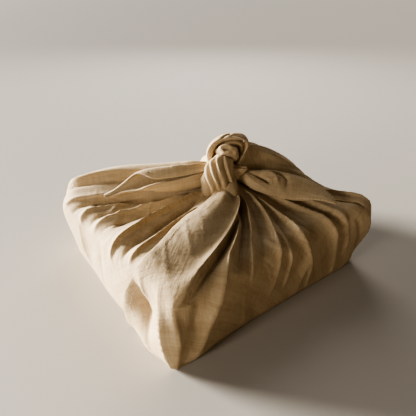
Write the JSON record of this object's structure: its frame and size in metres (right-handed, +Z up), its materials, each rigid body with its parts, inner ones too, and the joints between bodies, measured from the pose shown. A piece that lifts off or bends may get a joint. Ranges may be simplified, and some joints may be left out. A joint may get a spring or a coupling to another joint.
{
  "type": "furoshiki wrap",
  "caption": "Square cotton cloth drawn over a low box shape and knotted on top, with folds running to the knot and its free ends lying to left and right.",
  "frame": {"origin": "centre of the flat underside, on the surface that the bundle stands on", "axes": "+Z up; X and Y along the sides of the bundle, with the near corner of the picture at -X -Y"},
  "size_m": [0.2503, 0.223, 0.1385],
  "materials": {
    "cotton_cloth": "matte plain-woven cotton with faint tone-on-tone stripes"
  },
  "bodies": {
    "root": {"furoshiki_cloth": "cotton_cloth"}
  },
  "joints": []
}
